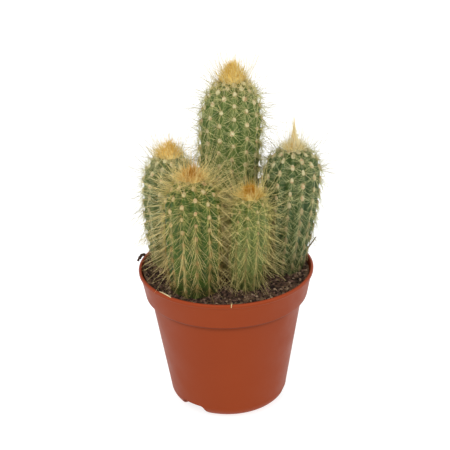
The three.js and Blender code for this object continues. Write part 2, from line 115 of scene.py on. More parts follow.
# The pads of wool on the areoles.
PADS = by_stem(
    {"width": (1.6, 1.35, 1.3, 1.4, 0.85), "height": (1.75, 2.2, 1.65, 1.7, 1.15)},
    ("width", "height"),
)
SPINES = by_stem(
    {
        "count": (40, 33, 27, 33, 27),
        "shortest": (3.2, 3.2, 3.2, 4.0, 3.2),
        "longest": (13.0, 12.0, 12.0, 18.0, 15.0),
        "thickness": (0.096, 0.096, 0.1, 0.1, 0.094),
        # The shares that are short radial ones, and that stand out.
        "short": (0.79, 0.73, 0.68, 0.66, 0.66),
        "outstanding": (0.09, 0.14, 0.18, 0.19, 0.18),
        # The old ones: how flat they lie, by what age they have parted, how much shorter they are.
        "flatness": (0.45, 0.9, 0.65, 0.4, 0.4),
        "parted": (1.0, 0.45, 0.55, 0.3, 0.35),
        "shorter": (0.1, 0.15, 0.15, 0.4, 0.35),
        # The young ones: how many more there are, how many more stand out, how far they point up.
        "more_young": (0.2, -0.3, 0.15, 0.6, 0.6),
        "wilder_young": (1.4, 1.0, 0.7, 0.0, 0.0),
        "lift": (0.3, 0.4, 0.4, 0.3, 0.3),
    },
    ("shortest", "longest", "thickness"),
)
TUFTS = by_stem(
    {
        # How high the felted core and the tip rise over the stem, and how the height falls off
        # towards the edge: 2 is a dome, 1 a cone, less a spire.
        "core": (8.5, 4.0, 6.0, 4.5, 3.5),
        "tip": (13.8, 22.0, 11.5, 10.5, 8.5),
        "fall": (1.3, 0.5, 1.0, 1.2, 1.1),
        # The bristles: how long they are at the edge and how far they lean out there, in degrees,
        # how many gather to the tip, how many grow on each mm2, and how thick they are.
        "edge": (6.5, 4.5, 7.0, 8.5, 6.5),
        "lean_out": (40.0, 66.0, 66.0, 68.0, 68.0),
        "gather": (0.0, 0.95, 0.0, 0.0, 0.0),
        "crowd": (1.9, 3.4, 2.0, 2.9, 2.9),
        "thickness": (0.165, 0.165, 0.15, 0.125, 0.125),
    },
    ("core", "tip", "edge", "thickness"),
)

# Each bit: its widest radius, how lumpy it is, its tint from dark to straw, and its middle line.
STRAY_BITS = (
    # A twig at the right.
    (
        (0.55, 0.1, 0.25),
        ((50.8, 12.5, 93.5), (54.6, 12.6, 100.4), (58.3, 12.0, 106.2), (62.9, 12.0, 112.9)),
    ),
    # A crumb on the rim.
    (
        (1.1, 0.5, 0.08),
        ((-56.6, 21.0, 98.2), (-58.6, 17.0, 99.9), (-60.0, 12.8, 99.9), (-61.2, 10.8, 98.4)),
    ),
    # A long and a short bit of straw at the front.
    (
        (0.42, 0.1, 1.0),
        ((-46.6, -33.4, 96.4), (-43.5, -38.0, 98.8), (-39.6, -43.6, 99.6), (-36.6, -47.0, 99.3)),
    ),
    (
        (0.4, 0.1, 0.8),
        ((3.6, -52.0, 94.6), (3.3, -56.0, 98.0), (2.9, -59.6, 99.7), (2.7, -61.3, 98.0)),
    ),
)

# Colours, as 0 to 255. Tints from dark to light each have their place on a ramp.
SOIL_TINTS = (
    (0.3, (50, 36, 24)), (0.5, (92, 70, 50)), (0.62, (126, 102, 78)), (0.75, (158, 134, 110)),
)
CRUMB_TINTS = (
    (0.0, (32, 22, 18)), (0.4, (72, 52, 42)), (0.75, (122, 92, 78)), (0.97, (168, 142, 116)),
)
BIT_TINTS = (
    (0.0, (60, 42, 32)), (0.25, (112, 84, 66)), (0.8, (222, 196, 140)), (1.0, (240, 216, 166)),
)
# Young, full-grown and old skin, its waxy bloom, and the share of the height below which the old
# skin shows.
SKINS = {
    # The tall stem's old skin is painted light: much paler than its full-grown skin, and from
    # higher up, to brighten the shade between the stems.
    "tall": ((84, 108, 42), (74, 102, 38), (174, 186, 104), (124, 138, 70), 0.6),
    "right": ((66, 92, 32), (54, 80, 30), (78, 86, 46), (96, 112, 66), 0.24),
    "back_left": ((80, 96, 38), (74, 90, 36), (112, 110, 60), (132, 142, 86), 0.24),
    "front_left": ((52, 84, 6), (54, 84, 6), (54, 60, 24), (84, 110, 32), 0.3),
    "front_centre": ((82, 100, 30), (90, 108, 46), (78, 82, 38), (130, 138, 76), 0.24),
}
# Wool when fresh, when grown and when old.
WOOL_COLOURS = {
    "tall": ((232, 226, 180), (218, 208, 160), (158, 146, 96)),
    "right": ((222, 216, 172), (206, 194, 150), (140, 128, 88)),
    "back_left": ((226, 220, 174), (208, 200, 154), (150, 142, 96)),
    "front_left": ((224, 210, 160), (206, 184, 132), (142, 120, 68)),
    "front_centre": ((206, 196, 140), (186, 172, 116), (138, 126, 74)),
}
# Root, shaft and tip, the young, the old, and the spines that stand out.
SPINE_COLOURS = {
    "tall": (
        (178, 150, 86), (222, 220, 148), (210, 198, 130),
        (238, 216, 146), (224, 222, 156), (190, 182, 142),
    ),
    "right": (
        (180, 156, 98), (204, 206, 142), (196, 188, 130),
        (244, 230, 164), (166, 164, 112), (186, 178, 144),
    ),
    "back_left": (
        (188, 162, 104), (238, 238, 184), (228, 218, 166),
        (244, 230, 160), (168, 166, 110), (178, 170, 126),
    ),
    "front_left": (
        (164, 130, 66), (204, 196, 112), (206, 192, 112),
        (246, 224, 146), (152, 126, 70), (254, 230, 160),
    ),
    "front_centre": (
        (176, 152, 86), (206, 202, 118), (202, 190, 108),
        (240, 220, 138), (154, 144, 84), (244, 224, 150),
    ),
}
# A tuft's heart, its bristles and their tips, and how fast the heart's colour fades along them.
TUFT_COLOURS = {
    "tall": ((246, 218, 122), (246, 212, 104), (232, 214, 148), 0.4),
    "right": ((248, 206, 108), (255, 236, 166), (252, 246, 216), 0.55),
    "back_left": ((252, 220, 124), (252, 216, 112), (246, 230, 172), 0.3),
    "front_left": ((212, 158, 64), (236, 190, 92), (246, 224, 150), 0.1),
    "front_centre": ((212, 156, 46), (222, 178, 68), (234, 206, 122), 0.12),
}

# The camera's angles in degrees, its lens in millimetres, and the height of the point that it looks
# at and its distance from there in metres.
CAMERA = {
    "elevation": 24.28,
    "roll": -1.45,
    "lens": 99.05,
    "aim_height": 0.12894,
    "distance": 0.83899,
}
# Each soft box's place and size in metres, and its power in watts.
SOFT_BOXES = {
    "key": ((-0.6, -1.1, 1.3), 0.9, 9),
    "fill": ((0.9, -1.0, 0.8), 0.9, 4),
    "back": ((0.3, 1.2, 1.1), 0.8, 5),
}


# Numbers and plain forms


def smoothstep(value, low, high):
    share = np.clip((np.asarray(value, float) - low) / (high - low), 0, 1)
    return share * share * (3 - 2 * share)


def mix(first, second, share):
    return first + (second - first) * share


def soil_height(x, y):
    lumps = np.sin(x * 0.31 + 1.3) * np.cos(y * 0.27) + np.sin(x * 0.13 - y * 0.19)
    towards_back_left = smoothstep(-x * 0.8 + y * 0.3, 25, 55)
    return SOIL["level"] + SOIL["relief"] * lumps / 2 + SOIL["mound"] * towards_back_left


def bank(x, y):
    """How high loose mix is heaped against the wall, at the left and a little at the right."""
    angle = np.degrees(np.arctan2(y, x))
    from_left = np.abs(np.abs(angle) - 180)
    left = smoothstep(from_left, 46, 12)
    right = smoothstep(np.abs(angle), 36, 8) * 0.5
    edge = pot_inside(SOIL["level"])
    return SOIL["bank"] * np.maximum(left, right) * smoothstep(np.hypot(x, y), edge - 7, edge - 0.5)


class Stem:
    """One stem's plain form: a column of changing width round a leaning axis, in millimetres."""

    samples = 800

    def __init__(self, name, facts):
        self.name = name
        self.facts = facts
        height, dome = facts["height"], facts["dome"]
        z = height * np.sin(np.linspace(0, math.pi / 2, self.samples))
        belly = facts["belly"] * height
        swell = mix(facts["foot"], 1.0, smoothstep(z, -0.25 * belly, belly))
        into_dome = np.maximum(0, (z - (height - dome)) / dome)
        radius = facts["radius"] * swell * np.sqrt(np.maximum(0, 1 - into_dome**2.1))
        below = np.array([-ROOT_DEPTH])
        foot = facts["radius"] * facts["foot"]
        self.z = np.concatenate([below, z])
        self.radius = np.concatenate([[foot * ROOT_TAPER], radius])
        steps = np.hypot(np.diff(z), np.diff(radius))
        self.s = np.concatenate([below, [0.0], np.cumsum(steps)])
        self.length = float(self.s[-1])
        self.cap_start = self.length - facts["cap"]

    def place(self, angle, s, lift=0.0):
        """Positions, outward normals and upward tangents at angles and skin heights s."""
        angle, s = np.broadcast_arrays(np.asarray(angle, float), np.asarray(s, float))
        z = np.interp(s, self.s, self.z)
        radius = np.interp(s, self.s, self.radius)
        step = 0.6
        above, below = s + step, s - step
        rise = np.interp(above, self.s, self.z) - np.interp(below, self.s, self.z)
        widening = np.interp(above, self.s, self.radius) - np.interp(below, self.s, self.radius)
        size = np.maximum(np.hypot(rise, widening), 1e-9)
        rise, widening = rise / size, widening / size
        cos, sin = np.cos(angle), np.sin(angle)
        out = np.stack([rise * cos, rise * sin, -widening], -1)
        up = np.stack([widening * cos, widening * sin, rise], -1)
        share = np.maximum(0, z) / self.facts["height"]
        (ground_x, ground_y), (apex_x, apex_y) = self.facts["ground"], self.facts["apex"]
        x = mix(ground_x, apex_x, share) + radius * cos
        y = mix(ground_y, apex_y, share) + radius * sin
        position = np.stack([x, y, GROUND + z], -1) + out * np.asarray(lift)[..., None]
        return position, out, up

    def rib_angle(self, rib):
        return math.radians(self.facts["first_rib"]) + rib * 2 * math.pi / self.facts["ribs"]

    def row_height(self, n):
        """The skin height of an areole that is n steps below the topmost one."""
        facts = self.facts
        steps = n - facts["crowding"] * (1 - np.exp(-n))
        return self.length - facts["top"] - facts["pitch"] * steps

    def steps_down(self, s):
        """How many steps a skin height is below the topmost areole, as a number with a share."""
        steps = np.linspace(0, 30, 600)
        below = np.interp(-np.asarray(s, float), -self.row_height(steps), steps)
        start = self.row_height(0)
        spacing = self.facts["pitch"] * (1 - self.facts["crowding"])
        return np.where(s > start, (start - s) / spacing, below)

    def rib_offset(self, rib):
        """Each rib's row starts about half a step from its neighbour's."""
        ribs = self.facts["ribs"]
        return (((rib * (ribs // 2)) % ribs) / ribs + self.facts["phase"]) % 1

    def areoles(self):
        """The rib and the skin height of every areole."""
        found = []
        for rib in range(self.facts["ribs"]):
            n = self.rib_offset(rib)
            while self.row_height(n) > LOWEST_AREOLE:
                found.append((rib, float(self.row_height(n))))
                n += 1
        return found


# Node trees, written as Python expressions


def colour(red, green, blue):
    """A colour given as 0 to 255, as the linear values that nodes take."""
    linear = [
        value / 12.92 if value <= 0.04045 else ((value + 0.055) / 1.055) ** 2.4
        for value in (red / 255, green / 255, blue / 255)
    ]
    return (*linear, 1.0)


def colours(row):
    """The colours in a row as nodes take them, and any plain number as it is."""
    return [colour(*each) if isinstance(each, tuple) else each for each in row]


class Field:
    """A socket's value on its way through a node tree, with Python's operators."""

    def __init__(self, graph, socket):
        self.graph = graph
        self.socket = socket

    @property
    def is_vector(self):
        return self.socket.type in ("VECTOR", "RGBA")

    def __add__(self, other):
        return self.graph.join("ADD", self, other)

    def __radd__(self, other):
        return self.graph.join("ADD", other, self)

    def __sub__(self, other):
        return self.graph.join("SUBTRACT", self, other)

    def __rsub__(self, other):
        return self.graph.join("SUBTRACT", other, self)

    def __mul__(self, other):
        return self.graph.join("MULTIPLY", self, other)

    def __rmul__(self, other):
        return self.graph.join("MULTIPLY", other, self)

    def __truediv__(self, other):
        return self.graph.join("DIVIDE", self, other)

    def __rtruediv__(self, other):
        return self.graph.join("DIVIDE", other, self)

    def __pow__(self, other):
        return self.graph.join("POWER", self, other)


class Graph:
    """A node tree that is filled by calls."""

    def __init__(self, tree):
        self.tree = tree

    @staticmethod
    def socket(sockets, name):
        live = [socket for socket in sockets if socket.enabled]
        if isinstance(name, int):
            return live[name]
        return next(socket for socket in live if socket.name == name)

    def node(self, kind, settings=None, inputs=None, output=0):
        """Adds a node with its settings, then its inputs, and gives one of its outputs."""
        node = self.tree.nodes.new(kind)
        for name, value in (settings or {}).items():
            if name == "stops":
                self.set_stops(node.color_ramp, value)
            else:
                setattr(node, name, value)
        for name, value in (inputs or {}).items():
            socket = self.socket(node.inputs, name)
            if isinstance(value, list):
                for each in reversed(value):
                    self.tree.links.new(each.socket, socket)
            elif isinstance(value, Field):
                self.tree.links.new(value.socket, socket)
            else:
                socket.default_value = value
        return Field(self, self.socket(node.outputs, output))

    @staticmethod
    def set_stops(ramp, stops):
        while len(ramp.elements) < len(stops):
            ramp.elements.new(0.5)
        for element, (place, tint) in zip(ramp.elements, stops):
            element.position = place
            element.color = colour(*tint)

    def join(self, operation, first, second):
        """Two values joined: numbers by a Math node, vectors by a Vector Math node."""
        vectors = [isinstance(v, Field) and v.is_vector for v in (first, second)]
        if not any(vectors):
            return self.maths(operation, first, second)
        if operation == "MULTIPLY" and not all(vectors):
            vector, number = (first, second) if vectors[0] else (second, first)
            return self.vector("SCALE", vector, number)
        return self.vector(operation, first, second)

    def maths(self, operation, *values):
        return self.node("ShaderNodeMath", {"operation": operation}, dict(enumerate(values)))

    def vector(self, operation, *values):
        return self.node("ShaderNodeVectorMath", {"operation": operation}, dict(enumerate(values)))

    def combined(self, **parts):
        return self.node("ShaderNodeCombineXYZ", {}, parts)

    def part(self, vector, axis):
        return self.node("ShaderNodeSeparateXYZ", {}, {"Vector": vector}, output=axis)

    def mixed(self, first, second, share, blend="MIX"):
        """Two colours mixed."""
        settings = {"data_type": "RGBA", "blend_type": blend}
        return self.node("ShaderNodeMix", settings, {"A": first, "B": second, "Factor": share})

    def smooth(self, value, low, high, start=0.0, end=1.0):
        """Goes smoothly from start to end while the value goes from low to high."""
        inputs = {"Value": value, "From Min": low, "From Max": high, "To Min": start, "To Max": end}
        return self.node("ShaderNodeMapRange", {"interpolation_type": "SMOOTHSTEP"}, inputs)

    def noise(self, scale, where, detail, roughness=0.5):
        inputs = {"Vector": where, "Scale": scale, "Detail": detail, "Roughness": roughness}
        return self.node("ShaderNodeTexNoise", {}, inputs)


class Surface(Graph):
    """A material with one Principled shader."""

    def __init__(self, name, **fixed):
        self.material = bpy.data.materials.new(name)
        self.material.use_nodes = True
        super().__init__(self.material.node_tree)
        self.shader = self.tree.nodes["Principled BSDF"]
        for label, value in fixed.items():
            self.shader.inputs[label.replace("_", " ")].default_value = value

    def attribute(self, name):
        return self.node("ShaderNodeAttribute", {"attribute_name": name}, output="Fac")

    def place(self):
        return self.node("ShaderNodeTexCoord", output="Object")

    def ramp(self, stops, share):
        return self.node("ShaderNodeValToRGB", {"stops": stops}, {"Fac": share})

    def feed(self, label, value):
        self.tree.links.new(value.socket, self.shader.inputs[label])

    def paint(self, base, *coats):
        """Feeds a base colour under coats: each is a colour, its share and, at times, a blend."""
        for coat in coats:
            base = self.mixed(base, *coat)
        self.feed("Base Color", base)

    def bump(self, height, distance, strength):
        inputs = {"Height": height, "Distance": distance, "Strength": strength}
        self.feed("Normal", self.node("ShaderNodeBump", {}, inputs))


class Grower(Graph):
    """A geometry node tree with named inputs, used as a modifier."""

    kinds = {float: "NodeSocketFloat", int: "NodeSocketInt"}

    def __init__(self, name, **inputs):
        super().__init__(bpy.data.node_groups.new(name, "GeometryNodeTree"))
        interface = self.tree.interface
        interface.new_socket("Geometry", in_out="OUTPUT", socket_type="NodeSocketGeometry")
        interface.new_socket("Geometry", in_out="INPUT", socket_type="NodeSocketGeometry")
        self.identifiers = {}
        for label, default in inputs.items():
            kind = self.kinds[type(default)]
            socket = interface.new_socket(label, in_out="INPUT", socket_type=kind)
            socket.default_value = default
            self.identifiers[label] = socket.identifier
        finish = interface.new_socket("finish", in_out="INPUT", socket_type="NodeSocketMaterial")
        self.identifiers["finish"] = finish.identifier
        self.source = self.tree.nodes.new("NodeGroupInput")
        self.start = self.input("Geometry")

    def input(self, label):
        return Field(self, self.source.outputs[label])

    def attribute(self, name, kind="FLOAT"):
        return self.node("GeometryNodeInputNamedAttribute", {"data_type": kind}, {"Name": name})

    def direction(self, name):
        return self.attribute(name, "FLOAT_VECTOR")

    def keep(self, geometry, name, value):
        """Stores a number or a vector on a geometry's points."""
        vector = isinstance(value, Field) and value.is_vector
        settings = {"data_type": "FLOAT_VECTOR" if vector else "FLOAT", "domain": "POINT"}
        inputs = {"Geometry": geometry, "Name": name, "Value": value}
        return self.node("GeometryNodeStoreNamedAttribute", settings, inputs)

    def random(self, low, high, seed, key=None):
        inputs = {"Min": low, "Max": high, "Seed": self.input("seed") + seed}
        if key is not None:
            inputs["ID"] = key
        return self.node("FunctionNodeRandomValue", {"data_type": "FLOAT"}, inputs)

    def position(self):
        return self.node("GeometryNodeInputPosition")

    def ball(self, subdivisions):
        inputs = {"Radius": 1.0, "Subdivisions": subdivisions}
        return self.node("GeometryNodeMeshIcoSphere", {}, inputs, output="Mesh")

    def moved(self, geometry, offset):
        return self.node("GeometryNodeSetPosition", {}, {"Geometry": geometry, "Offset": offset})

    def smoothed(self, geometry):
        inputs = {"Geometry": geometry, "Shade Smooth": True}
        return self.node("GeometryNodeSetShadeSmooth", {}, inputs)

    def copied(self, instance, points, turn, scale):
        inputs = {"Points": points, "Instance": instance, "Rotation": turn, "Scale": scale}
        return self.node("GeometryNodeInstanceOnPoints", {}, inputs)

    def realized(self, geometry):
        return self.node("GeometryNodeRealizeInstances", {}, {"Geometry": geometry})

    def end(self, geometry):
        inputs = {"Geometry": self.realized(geometry), "Material": self.input("finish")}
        geometry = self.node("GeometryNodeSetMaterial", {}, inputs)
        output = self.tree.nodes.new("NodeGroupOutput")
        self.tree.links.new(geometry.socket, output.inputs["Geometry"])
        return self


# Pieces


def mesh_object(name, points, faces, attributes=None):
    """A mesh object from points in millimetres, with attributes on its points."""
    mesh = bpy.data.meshes.new(name)
    mesh.from_pydata((np.asarray(points, float) * MM).tolist(), [], faces)
    for label, values in (attributes or {}).items():
        values = np.asarray(values, np.float32)
        kind = "FLOAT_VECTOR" if values.ndim == 2 else "FLOAT"
        layer = mesh.attributes.new(label, kind, "POINT")
        layer.data.foreach_set("vector" if values.ndim == 2 else "value", values.ravel())
    piece = bpy.data.objects.new(name, mesh)
    bpy.context.scene.collection.objects.link(piece)
    return piece


def settle(piece):
    """Turns a piece with live modifiers into the plain mesh that they make."""
    state = bpy.context.evaluated_depsgraph_get()
    mesh = bpy.data.meshes.new_from_object(
        piece.evaluated_get(state), preserve_all_data_layers=True, depsgraph=state
    )
    piece.modifiers.clear()
    piece.data = mesh
    return piece


def grow(piece, grower, finish, **values):
    """Runs a geometry tree on a piece and keeps the mesh that it gives."""
    modifier = piece.modifiers.new(grower.tree.name, "NODES")
    modifier.node_group = grower.tree
    for label, value in {"finish": finish, **values}.items():
        modifier[grower.identifiers[label]] = value
    return settle(piece)


def ring_faces(rings, around, first=0):
    """The faces between rings of points that follow each other, from the first point on."""
    faces = []
    for row in range(rings - 1):
        for k in range(around):
            a, b = first + row * around + k, first + row * around + (k + 1) % around
            faces.append((a, b, b + around, a + around))
    return faces


def rounded(points, radius, steps=5):
    """A line of (radius, height) points whose corners are rounded."""
    line = [points[0]]
    for before, corner, after in zip(points, points[1:], points[2:]):
        before, corner, after = (np.array(p, float) for p in (before, corner, after))
        back, ahead = before - corner, after - corner
        reach = min(radius, 0.45 * np.linalg.norm(back), 0.45 * np.linalg.norm(ahead))
        start = corner + back / np.linalg.norm(back) * reach
        end = corner + ahead / np.linalg.norm(ahead) * reach
        for t in np.linspace(0, 1, steps):
            line.append(tuple((1 - t) ** 2 * start + 2 * t * (1 - t) * corner + t * t * end))
    line.append(points[-1])
    return line


def pot_outside(inset=0.0):
    """The pot's side from foot to lip, as (radius, height), or a line that is inset from it."""
    heel_radius, heel_height = POT["heel"]
    middle, bend = heel_radius - heel_height, heel_height - inset
    heel = [
        (middle + bend * math.sin(a), heel_height - bend * math.cos(a))
        for a in np.linspace(0, math.pi / 2, 9)
    ]
    (shoulder, shoulder_height), (collar, collar_height) = POT["shoulder"], POT["collar"]
    lip_edge = (POT["rim"] - POT["lip_step"] - inset, POT["height"] - POT["lip"])
    return heel + [
        (shoulder - inset, shoulder_height + inset / 2),
        (collar - inset, collar_height + inset / 2),
        lip_edge,
    ]


def pot_inside(height):
    line = np.array(pot_outside(POT["wall"]))
    return float(np.interp(height, line[:, 1], line[:, 0]))


def turned(name, line, segments):
    """A closed solid from a line of (radius, height) points that starts and ends on the axis."""
    angles = np.arange(segments) * 2 * math.pi / segments
    rings = line[1:-1]
    points = [(r * math.cos(a), r * math.sin(a), z) for r, z in rings for a in angles]
    low, high = len(points), len(points) + 1
    points += [(0, 0, line[0][1]), (0, 0, line[-1][1])]
    faces = ring_faces(len(rings), segments)
    last = (len(rings) - 1) * segments
    for k in range(segments):
        following = (k + 1) % segments
        faces += [(following, k, low), (last + k, last + following, high)]
    return mesh_object(name, points, faces)


def cut(piece, cutters):
    """Cuts solids out of a piece and removes them."""
    for cutter in cutters:
        modifier = piece.modifiers.new("cut", "BOOLEAN")
        modifier.operation = "DIFFERENCE"
        modifier.solver = "EXACT"
        modifier.object = cutter
    settle(piece)
    for cutter in cutters:
        bpy.data.objects.remove(cutter)


def slot_cutter(angle):
    """The wedge-ended block that leaves one drainage slot in the pot's foot."""
    slots, slant, below = POT["slots"], 2.5, 3
    near, far = POT["plate"][0] - 1, POT["heel"][0] + 1
    half, height = slots["width"] / 2, slots["height"]
    side = [(half, height), (half + slant, 0), (half + slant, -below)]
    section = rounded([(-y, z) for y, z in reversed(side)] + side, 2)
    cos, sin = math.cos(angle), math.sin(angle)
    points = [(x * cos - y * sin, x * sin + y * cos, z) for x in (near, far) for y, z in section]
    count = len(section)
    faces = [tuple(range(count)), tuple(range(2 * count - 1, count - 1, -1))]
    for k in range(count):
        following = (k + 1) % count
        faces.append((k, k + count, following + count, following))
    return mesh_object("slot", points, faces)


def make_pot(finish):
    flat, top = POT["middle_foot"]
    plate, plate_height = POT["plate"]
    wall, rim, height = POT["wall"], POT["rim"], POT["height"]
    under = [(flat, 0), (top, plate_height), (plate, plate_height), (POT["foot_inside"], 0)]
    lip = [
        (rim - 0.1, height - POT["lip"] + 0.5),
        (rim, height - 0.6),
        (rim - 0.5, height),
        (rim - POT["lip_step"] - 0.6, height),
    ]
    base = [
        (POT["foot_inside"] + wall, wall),
        (plate + wall, plate_height + wall),
        (top - wall, plate_height + wall),
        (flat - wall, wall),
    ]
    line = [(0, 0), *under, *pot_outside(), *lip, *reversed(pot_outside(wall)), *base, (0, wall)]
    corner, segments, drain_segments, sharp = 0.7, 192, 32, math.radians(38)
    pot = turned("nursery_pot", rounded(line, corner, 4), segments)
    slots, drains = POT["slots"], POT["drains"]
    step = 360 / slots["count"]
    cutters = [slot_cutter(math.radians(slots["first"] + k * step)) for k in range(slots["count"])]
    radius, low, high = drains["radius"], 2, 12
    for k in range(drains["count"]):
        angle = k * 2 * math.pi / drains["count"]
        x, y = drains["circle"] * math.cos(angle), drains["circle"] * math.sin(angle)
        section = [(0, low), (radius, low), (radius, high), (0, high)]
        drain = turned("drain", section, drain_segments)
        for vertex in drain.data.vertices:
            vertex.co += Vector((x, y, 0)) * MM
        cutters.append(drain)
    cut(pot, cutters)
    pot.data.shade_smooth()
    pot.data.set_sharp_from_angle(angle=sharp)
    pot.data.materials.clear()
    pot.data.materials.append(finish)
    return pot


def make_soil(finish):
    """The potting mix as a closed solid with a finely divided top."""
    segments, rings, clearance = 160, 64, 0.3
    level, bottom, raised = SOIL["level"], SOIL["bottom"], POT["wall"] / 2
    # The soil follows the pot's wall: its heel, its shoulder and its collar.
    heights = (bottom, POT["heel"][1], POT["shoulder"][1] + raised, POT["collar"][1] + raised)
    walls = [(pot_inside(z) - clearance, z) for z in heights]
    edge = pot_inside(level) - clearance
    top = [(edge * (1 - (k / rings)), level) for k in range(rings)]
    soil = turned("potting_mix", [(0, bottom), *walls, *top, (0, level)], segments)
    points = np.array([v.co for v in soil.data.vertices]) / MM
    on_top = points[:, 2] > level - 5
    x, y = points[on_top, 0], points[on_top, 1]
    points[on_top, 2] = soil_height(x, y) + bank(x, y)
    soil.data.vertices.foreach_set("co", (points * MM).ravel())
    layer = soil.data.attributes.new("top", "FLOAT", "POINT")
    layer.data.foreach_set("value", on_top.astype(np.float32))
    return grow(soil, crumbly_ground(), finish)


def crumbly_ground():
    """Gives the ground its crumbly relief."""
    grower = Grower("crumbly_ground", relief=1.6 * MM)
    place, relief = grower.position(), grower.input("relief")
    coarse = grower.noise(160.0, place, 3.0, 0.6)
    fine = grower.noise(520.0, place, 2.0, 0.6)
    lift = (coarse - 0.5) * relief + (fine - 0.5) * relief * 0.7
    return grower.end(grower.moved(grower.start, grower.combined(Z=lift * grower.attribute("top"))))


def scattered_crumbs():
    """Scatters crumbs over the ground, each an irregular lump with its own size, turn and tint."""
    grower = Grower("scattered_crumbs", density=420000.0, size=1.1 * MM, lift=0.3 * MM, seed=2)
    given, draw = grower.input, grower.random
    inputs = {"Mesh": grower.start, "Density": given("density"), "Seed": given("seed")}
    points = grower.node("GeometryNodeDistributePointsOnFaces", {}, inputs)
    points = grower.keep(points, "tint", draw(0.0, 1.0, 11))
    points = grower.moved(points, grower.combined(Z=given("lift") * draw(0.0, 1.0, 5)))
    place = grower.position()
    dent = grower.noise(1.3, place, 1.0) - 0.5
    lump = grower.moved(grower.ball(1), place * (dent * 1.1))
    turn = grower.combined(X=draw(-0.5, 0.5, 6), Y=draw(-0.5, 0.5, 7), Z=draw(0.0, 6.28, 8))
    size = given("size") * draw(0.35, 1.2, 9) ** 1.5
    scale = grower.combined(X=size, Y=size * draw(0.5, 1.0, 10), Z=size * draw(0.5, 0.9, 12))
    return grower.end(grower.copied(lump, points, turn, scale))


def ground_patch(name):
    """A flat-mapped sheet on the ground, clear of the stems, to scatter crumbs on."""
    edge, spacing, overlap = pot_inside(SOIL["level"]) - 1.2, 1.5, 0.5
    axis = np.arange(-edge, edge, spacing)
    points, faces, index = [], [], {}

    def clear_of(facts, x, y):
        ground_x, ground_y = facts["ground"]
        return math.hypot(x - ground_x, y - ground_y) >= facts["radius"] * facts["foot"] - overlap

    for i, x in enumerate(axis):
        for j, y in enumerate(axis):
            if math.hypot(x, y) <= edge and all(clear_of(facts, x, y) for facts in STEMS.values()):
                index[i, j] = len(points)
                points.append((x, y, float(soil_height(x, y) + bank(x, y)) + 0.1))
    for (i, j), first in index.items():
        corners = [first, index.get((i + 1, j)), index.get((i + 1, j + 1)), index.get((i, j + 1))]
        if None not in corners:
            faces.append(tuple(corners))
    return mesh_object(name, points, faces)


def stray_bits():
    """A twig, a crumb on the rim and two bits of straw, each a closed tapered tube."""
    sides, steps = 7, 12
    rng = np.random.default_rng(11)
    points, faces, tints = [], [], []
    shares = np.linspace(0, 1, steps)
    for (radius, lumps, tint), line in STRAY_BITS:
        knots = shares * (len(line) - 1)
        middle = np.stack([np.interp(knots, range(len(line)), part) for part in zip(*line)], -1)
        along = np.gradient(middle, axis=0)
        along /= np.linalg.norm(along, axis=1)[:, None]
        side = np.cross(along, [0.3, 0.2, 1.0])
        side /= np.linalg.norm(side, axis=1)[:, None]
        other = np.cross(along, side)
        first = len(points)
        for k in range(steps):
            size = radius * (0.45 + 0.55 * math.sin(math.pi * (0.15 + 0.75 * shares[k])))
            for j in range(sides):
                angle = 2 * math.pi * j / sides
                reach = size * (1 + rng.uniform(-lumps, lumps))
                sideways, across = reach * math.cos(angle), reach * math.sin(angle)
                points.append(middle[k] + side[k] * sideways + other[k] * across)
        last = first + (steps - 1) * sides
        faces += ring_faces(steps, sides, first)
        faces += [tuple(range(first + sides - 1, first - 1, -1)), tuple(range(last, last + sides))]
        tints += [tint] * (sides * steps)
    return mesh_object("stray_bits", points, faces, {"tint": tints})


def stem_tube(stem):
    """The plain tube of a stem, with the places of its ribs and areoles as attributes."""
    ribs, per_rib, spacing = stem.facts["ribs"], 12, 0.95
    around = ribs * per_rib
    heights = np.arange(-ROOT_DEPTH, stem.length - 0.3, spacing)
    angles = stem.rib_angle(0) + np.arange(around) * 2 * math.pi / around
    s, angle = np.meshgrid(heights, angles, indexing="ij")
    position, out, _ = stem.place(angle, s)
    rib_share = np.broadcast_to((np.arange(around) / per_rib) % 1, s.shape)
    nearest = np.round(np.arange(around) / per_rib).astype(int) % ribs
    offsets = np.array([stem.rib_offset(rib) for rib in range(ribs)])[nearest]
    rows = stem.steps_down(s) - offsets[None, :]
    # The last two points close the tube on the axis, at the apex and at the root.
    ends = [stem.place(0.0, end)[0][None] for end in (stem.length, -ROOT_DEPTH)]
    points = np.concatenate([position.reshape(-1, 3), *ends])
    points[-2:, :2] = [stem.facts["apex"], stem.facts["ground"]]
    attributes = {
        "out": np.concatenate([out.reshape(-1, 3), [[0, 0, 1.0], [0, 0, -1.0]]]),
        "rib": np.append(rib_share.ravel(), [0, 0]),
        "row": np.append(rows.ravel(), [0, 0]),
        "height": np.append(s.ravel(), [stem.length, -ROOT_DEPTH]) / stem.length,
        "ribbing": np.append(ribbing(stem, s).ravel(), [0, 0]),
    }
    faces = ring_faces(len(heights), around)
    apex, tail, last = len(points) - 2, len(points) - 1, (len(heights) - 1) * around
    for k in range(around):
        following = (k + 1) % around
        faces += [(last + k, last + following, apex), (following, k, tail)]
    return mesh_object(f"skin_{stem.name}", points, faces, attributes)


def ribbing(stem, s):
    """How strong the ribs are at skin height s: weaker at the ground and fading into the crown."""
    from_ground = mix(0.45, 1.0, smoothstep(s, 0, 0.22 * stem.length))
    start = stem.cap_start
    into_cap = mix(1.0, 0.35, smoothstep(s, start - 10, start))
    return from_ground * into_cap * (1 - smoothstep(s, start, stem.length))


